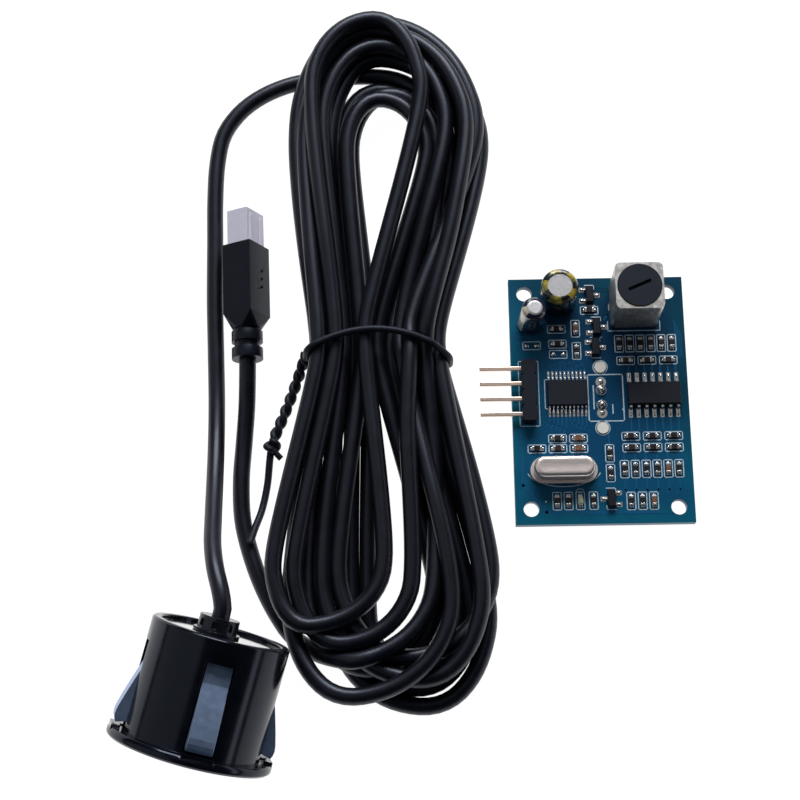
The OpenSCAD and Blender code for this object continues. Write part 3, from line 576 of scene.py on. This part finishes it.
# Each turn, in order from the probe to the plug: the upper half's left side, top (x and y) and right side,
# and where that side passes the tie; the lower half's right side, bottom (x and y) and left side, and where
# that side passes the tie; then the layers of the pile that the two halves lie in. The first turn joins the
# first free run at the top, and the last one joins the second free run at the bottom.
TURNS = [
    (-14.0, -6.0, 80.5, 8.5, 1.5, 10.0, 1.5, -26.0, -9.0, -9.5, 0, 0),
    (-11.5, -3.0, 79.0, 7.0, -1.0, 7.5, -1.0, -23.5, -8.0, -7.2, 1, 1),
    (-9.5, -2.5, 76.3, 6.0, 4.5, 13.0, 3.0, -26.7, -12.5, -11.8, 2, 2),
    (-12.5, -4.5, 83.5, 10.0, 5.2, 11.5, -3.0, -22.5, -13.0, -6.8, 3, 3),
    (-8.4, -2.5, 74.3, 5.6, -4.0, 5.0, -6.0, -22.6, -16.0, -13.5, 4, 4),
    (-15.5, -4.5, 86.8, 11.5, 3.0, 9.5, 0.0, -24.8, -14.5, -11.0, 5, 5),
    (-14.0, -3.5, 84.8, 8.0, 0.5, 7.4, -8.5, -27.4, -18.0, -15.0, 6, 7),
    (-16.8, -5.0, 88.0, 12.9, 2.0, 1.3, -11.0, -19.6, -18.9, -12.0, 7, 8),
    (-15.0, -4.0, 88.0, 3.9, -5.8, -2.9, -14.5, -16.2, -20.2, -13.4, 9, 9),
    (-16.2, -5.0, 87.6, 10.8, 3.5, 4.1, -9.0, -21.8, -18.0, None, 8, 6),
]
TOP_BEND, LOW_BEND = 0.72, 0.6  # how deep the end curves are, against the width of their turn
LAYER = 0.75
HANK_TOP = 8.2
TIE_LEFT, TIE_RIGHT, TIE_LOW, TIE_HIGH = -14.2, 5.2, 2.5, 7.9
TIE_REACH = 2.5  # the tie gathers the strands this far above and below itself
QUARTER_STEPS = 4
CUTS = 40  # of the smooth curve between two points
SETTLING_ROUNDS = 900


def quarter(cx, cy, rx, ry, start, end):
    """Points on part of an ellipse, from one angle to another."""
    angles = [math.radians(start + (end - start) * i / QUARTER_STEPS) for i in range(QUARTER_STEPS + 1)]
    return [(cx + rx * math.cos(a), cy + ry * math.sin(a)) for a in angles]


def guide():
    """The line that the cable follows before it settles, as x, y, z and whether it is held there."""
    points = [(*p, True) for p in RUN_1]
    for left, top_x, top_y, right, tie_r, low_r, low_x, low_y, low_l, tie_l, upper, lower in TURNS:
        first, last = upper == 0, tie_l is None
        z = CABLE_R + LAYER * upper
        centre = top_y - TOP_BEND * (right - left)
        arc = quarter(top_x, centre, top_x - left, top_y - centre, 180, 90)
        arc += quarter(top_x, centre, right - top_x, top_y - centre, 90, 0)[1:]
        if first:
            arc = arc[QUARTER_STEPS:]
        points += [(x, y, z, False) for x, y in arc] + [(tie_r, TIE_Y + TIE_REACH, z, False)]
        z = CABLE_R + LAYER * lower
        points.append((tie_r, TIE_Y - TIE_REACH, z, False))
        centre = low_y + LOW_BEND * (low_r - low_l)
        arc = quarter(low_x, centre, low_r - low_x, low_y - centre, 0, 90)
        if not last:
            arc += quarter(low_x, centre, low_x - low_l, low_y - centre, 90, 180)[1:]
        points += [(x, y, z, False) for x, y in arc]
        if not last:
            points += [(tie_l, TIE_Y - TIE_REACH, z, False), (tie_l, TIE_Y + TIE_REACH, z, False)]
    return points + [(*p, True) for p in RUN_2]


def smooth_line(points, step):
    """A smooth curve (centripetal Catmull-Rom) through the points, cut into equal steps."""
    p = np.array([q[:3] for q in points], float)
    held = [q[3] for q in points]
    ext = np.vstack([2 * p[0] - p[1], p, 2 * p[-1] - p[-2]])
    parts, flags = [], []
    for i in range(len(p) - 1):
        a, b, c, d = ext[i:i + 4]
        t1 = np.linalg.norm(b - a) ** 0.5
        t2 = t1 + np.linalg.norm(c - b) ** 0.5
        t3 = t2 + np.linalg.norm(d - c) ** 0.5
        t = np.linspace(t1, t2, CUTS, endpoint=False)[:, None]
        a1 = (t1 - t) / t1 * a + t / t1 * b
        a2 = (t2 - t) / (t2 - t1) * b + (t - t1) / (t2 - t1) * c
        a3 = (t3 - t) / (t3 - t2) * c + (t - t2) / (t3 - t2) * d
        b1 = (t2 - t) / t2 * a1 + t / t2 * a2
        b2 = (t3 - t) / (t3 - t1) * a2 + (t - t1) / (t3 - t1) * a3
        parts.append((t2 - t) / (t2 - t1) * b1 + (t - t1) / (t2 - t1) * b2)
        flags += [held[i] and held[i + 1]] * CUTS
    dense = np.vstack([*parts, p[-1:]])
    run = np.concatenate([[0], np.cumsum(np.linalg.norm(np.diff(dense, axis=0), axis=1))])
    at = np.linspace(0, run[-1], round(run[-1] / step) + 1)
    line = np.stack([np.interp(at, run, dense[:, k]) for k in range(3)], 1)
    return line, np.array([*flags, True])[np.searchsorted(run, at).clip(0, len(flags))]


def near_pairs(p, reach, apart):
    """Points closer than reach that are at least so many steps apart along the cable."""
    square = (p * p).sum(1)
    gap = square[:, None] + square[None, :] - 2 * p @ p.T
    return np.nonzero(np.triu(gap < reach * reach, apart))


def blur(values, sigma):
    """Smooths each column along the line."""
    half = int(3 * sigma)
    weights = np.exp(-0.5 * (np.arange(-half, half + 1) / sigma) ** 2)
    weights /= weights.sum()
    padded = np.vstack([np.repeat(values[:1], half, 0), values, np.repeat(values[-1:], half, 0)])
    return np.stack([np.convolve(padded[:, k], weights, "valid") for k in range(3)], 1)


def push_apart(p, i, j, ease):
    """Moves each pair of overlapping points a part of the way to where they only touch."""
    share, crowding = 0.35, 0.5
    gap = p[j] - p[i]
    size = np.linalg.norm(gap, axis=1) + 1e-9
    over = (2 * CABLE_R - size).clip(0)
    push = gap / size[:, None] * (share * over)[:, None]
    move, count = np.zeros_like(p), np.zeros(len(p))
    np.add.at(move, i, -push)
    np.add.at(move, j, push)
    np.add.at(count, i, over > 0)
    np.add.at(count, j, over > 0)
    return p + ease * move / np.maximum(1, crowding * count)[:, None]


def settle(line, held):
    """The cable at rest: strands lie on each other and on the surface, and the tie gathers them.

    Each round draws the strands back to the line, lets them sink, evens the shift out along the cable, and
    then pushes overlapping strands apart. The drawing back stops before the end, and the sinking fades out.
    """
    back, back_until, sink = 0.985, 0.7, 0.012
    evening = ((0.25, 5), (0.3, 2))  # how much of it, and over how many steps
    pairs_every, steps_apart = 8, 5
    p = line.copy()
    loose = ~held
    ease = blur(np.repeat(loose.astype(float)[:, None], 3, 1), 6) * loose[:, None]
    for k in range(SETTLING_ROUNDS):
        if k % pairs_every == 0:
            i, j = near_pairs(p, 2 * CABLE_R + 1, steps_apart)
        late = k / SETTLING_ROUNDS
        off = p - line
        if late < back_until:
            off[:, :2] *= back
        off[:, 2] -= sink * (1 - late)
        for amount, width in evening:
            off += amount * (blur(off, width) - off)
        p = line + off * ease
        for _ in range(2):
            p = push_apart(p, i, j, ease)
            at_tie = loose & (abs(p[:, 1] - TIE_Y) < TIE_REACH)
            p[loose, 2] = p[loose, 2].clip(CABLE_R, HANK_TOP)
            p[at_tie, 0] = p[at_tie, 0].clip(TIE_LEFT, TIE_RIGHT)
            p[at_tie, 2] = p[at_tie, 2].clip(TIE_LOW, TIE_HIGH)
    off = p - line
    p = line + off + 0.9 * (blur(off, 3.5) - off) * ease
    p[loose, 2] = p[loose, 2].clip(CABLE_R, HANK_TOP)
    return p


def tube(name, points, radius, look, closed=False, sides=6):
    """A round cord along millimetre points, which rides with the probe."""
    data = bpy.data.curves.new(name, "CURVE")
    data.dimensions = "3D"
    data.bevel_depth = radius * MM
    data.bevel_resolution = sides
    data.use_fill_caps = True
    spline = data.splines.new("POLY")
    spline.points.add(len(points) - 1)
    for point, at in zip(spline.points, points):
        point.co = (*[float(c) * MM for c in at], 1)
    spline.use_cyclic_u = closed
    spline.use_smooth = True
    data.materials.append(M[look].material)
    obj = bpy.data.objects.new(name, data)
    bpy.context.scene.collection.objects.link(obj)
    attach(obj, "probe_and_cable")
    return obj


settled = settle(*smooth_line(guide(), STEP))
cable = tube("cable", settled, CABLE_R, "jacket")
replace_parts(cable, "cable_from_probe", "cable_hank", "cable_to_plug")

# ---------------------------------------------------------------- tie round the hank's waist
FREE_RUNS_END = -20  # the two free runs lie to the left of this
TIE_POINTS = 120
TIE_RISE, TIE_MIDDLE, TIE_BOW = 1.1, -5, 0.026
TWIST_R, TWIST_PITCH, TWIST_STEP = 0.44, 4.2, 0.2
STRAND_R, END_R, STUB_R, KNOT_R = 0.56, 0.6, 0.5, 0.52
# The twisted tail, the loose end below the knot, and the short stub beside it
TAIL = [(-16.3, 29.0, 5.2), (-17.1, 27.4, 3.4), (-18.1, 25.2, 1.9), (-19.8, 20.8, 1.25), (-21.2, 17.4, 1.25),
        (-22.1, 15.2, 1.4)]
END = [(-22.3, 14.4, 1.5), (-22.6, 12, 1.1), (-23.0, 8, 0.62), (-23.8, 3.8, 1.0), (-24.8, 0.4, 2.4),
       (-25.5, -2.2, 3.42)]
STUB = [(-22.2, 14.6, 1.6), (-21.6, 13.2, 1.5), (-20.7, 12.2, 1.2)]
KNOT = (-22.2, 14.3, 1.55)


def strands_at(points, y):
    """Where the hank's strands cross a plane, as x and z."""
    side = points[:, 1] - y
    cross = np.nonzero(side[:-1] * side[1:] < 0)[0]
    t = (side[cross] / (side[cross] - side[cross + 1]))[:, None]
    at = points[cross] * (1 - t) + points[cross + 1] * t
    return at[at[:, 0] > FREE_RUNS_END][:, [0, 2]]


def turns_left(a, b, c):
    return (b[0] - a[0]) * (c[1] - a[1]) - (b[1] - a[1]) * (c[0] - a[0]) > 0


def hull(points):
    """The outline of a set of points, anticlockwise."""
    points = sorted(points)
    sides = []
    for order in (points, points[::-1]):
        chain = []
        for p in order:
            while len(chain) > 1 and not turns_left(*chain[-2:], p):
                chain.pop()
            chain.append(p)
        sides += chain[:-1]
    return sides


def tie_loop():
    """The tie's line: round all the strands, resting on the surface, and bowed upwards in its middle."""
    reach = CABLE_R + TIE_R
    angles = [math.radians(15 * k) for k in range(24)]
    around = [(x + reach * math.cos(a), max(TIE_R, z + reach * math.sin(a)))
              for x, z in strands_at(settled, TIE_Y) for a in angles]
    outline = hull(around)
    closed = np.array([*outline, outline[0]])
    run = np.concatenate([[0], np.cumsum(np.linalg.norm(np.diff(closed, axis=0), axis=1))])
    at = np.linspace(0, run[-1], TIE_POINTS, endpoint=False)
    x, z = (np.interp(at, run, closed[:, k]) for k in (0, 1))
    y = TIE_Y + TIE_RISE - TIE_BOW * (x - TIE_MIDDLE) ** 2
    return np.stack([x, y, z], 1)


def through(points, step=0.4):
    return smooth_line([(*p, True) for p in points], step)[0]


def twist(points, phase):
    """One strand of a twisted pair along a line."""
    line = through(points, TWIST_STEP)
    out = []
    for k, at in enumerate(line):
        along = Vector(line[min(k + 1, len(line) - 1)] - line[max(k - 1, 0)]).normalized()
        side = along.cross(Vector((0, 0, 1))).normalized()
        up = side.cross(along)
        a = phase + 2 * math.pi * TWIST_STEP * k / TWIST_PITCH
        out.append(Vector(at) + TWIST_R * (math.cos(a) * side + math.sin(a) * up))
    return out


def knot_line():
    x, y, z = KNOT
    angles = [2 * math.pi * i / 40 for i in range(40)]
    return [(x + 0.75 * math.cos(a) + 0.25 * math.cos(3 * a), y + 0.85 * math.sin(a),
             z + 0.55 * math.sin(2 * a)) for a in angles]


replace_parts(tube("tie_loop", tie_loop(), TIE_R, "tie", True, 4), "cable_tie")
for k in (0, 1):
    tube(f"tie_twist_{k + 1}", twist(TAIL, math.pi * k), STRAND_R, "tie", sides=3)
tube("tie_end", through(END), END_R, "tie", sides=3)
tube("tie_stub", through(STUB), STUB_R, "tie", sides=3)
tube("tie_knot", knot_line(), KNOT_R, "tie", True, 3)

# ---------------------------------------------------------------- surface, light and camera
FLOOR_HALF = 2
FLOOR_GLOW = 0.985
# Each light's place and aim, size and power
LIGHTS = {
    "back": ((0.05, 0.62, 0.44), (0, 0.02, 0), (0.5, 0.3), 6),
    "above": ((0.10, 0.30, 0.9), (0, 0.02, 0), (0.6, 0.5), 0.22),
    "left": ((-0.6, 0.0, 0.5), (0, 0, 0), (0.8, 1.0), 1.1),
    "right": ((0.6, 0.05, 0.16), (0, 0.02, 0), (0.8, 0.1), 0.45),
}
CAMERA_AT = (0.92, -59.39, 283.47)
CAMERA_TILT, CAMERA_ROLL, CAMERA_TURN = 16.07, 0.40, -0.84
LENS, SENSOR = 79.74, 36


def area_light(name, at, aim, size, power):
    data = bpy.data.lights.new(name, "AREA")
    data.shape = "RECTANGLE"
    data.size, data.size_y = size
    data.energy = power
    obj = bpy.data.objects.new(name, data)
    obj.location = at
    obj.rotation_euler = (Vector(aim) - Vector(at)).to_track_quat("-Z", "Y").to_euler()
    bpy.context.scene.collection.objects.link(obj)


def white_floor():
    """A floor that glows white, and still shows soft reflections on the pieces."""
    look = Nodes("floor_white")
    for socket, value in (("Base Color", (0.2, 0.2, 0.2, 1)), ("Roughness", 1.0), ("Specular IOR Level", 0.0),
                          ("Emission Color", (1, 1, 1, 1)), ("Emission Strength", FLOOR_GLOW)):
        look.surface.inputs[socket].default_value = value
    h = FLOOR_HALF
    data = bpy.data.meshes.new("floor")
    data.from_pydata([(-h, -h, 0), (h, -h, 0), (h, h, 0), (-h, h, 0)], [], [(0, 1, 2, 3)])
    data.materials.append(look.material)
    floor = bpy.data.objects.new("floor", data)
    bpy.context.scene.collection.objects.link(floor)


def dim_world():
    world = bpy.data.worlds.new("world")
    world.use_nodes = True
    background = world.node_tree.nodes["Background"].inputs
    background["Color"].default_value = (0.6, 0.75, 1.0, 1)
    background["Strength"].default_value = 0.03
    bpy.context.scene.world = world


def aim_camera():
    data = bpy.data.cameras.new("camera")
    data.lens = LENS
    data.sensor_width = SENSOR
    data.clip_start, data.clip_end = 0.01, 10
    camera = bpy.data.objects.new("camera", data)
    turn = Matrix.Identity(3)
    for angles in ((0, CAMERA_ROLL, 0), (CAMERA_TILT, 0, 0), (0, 0, CAMERA_TURN)):
        turn = turn @ Euler([math.radians(a) for a in angles]).to_matrix()
    camera.matrix_world = Matrix.Translation(Vector(CAMERA_AT) * MM) @ turn.to_4x4()
    bpy.context.scene.collection.objects.link(camera)
    bpy.context.scene.camera = camera


white_floor()
dim_world()
for name, values in LIGHTS.items():
    area_light(name, *values)
aim_camera()
bpy.context.scene.view_settings.view_transform = "Standard"
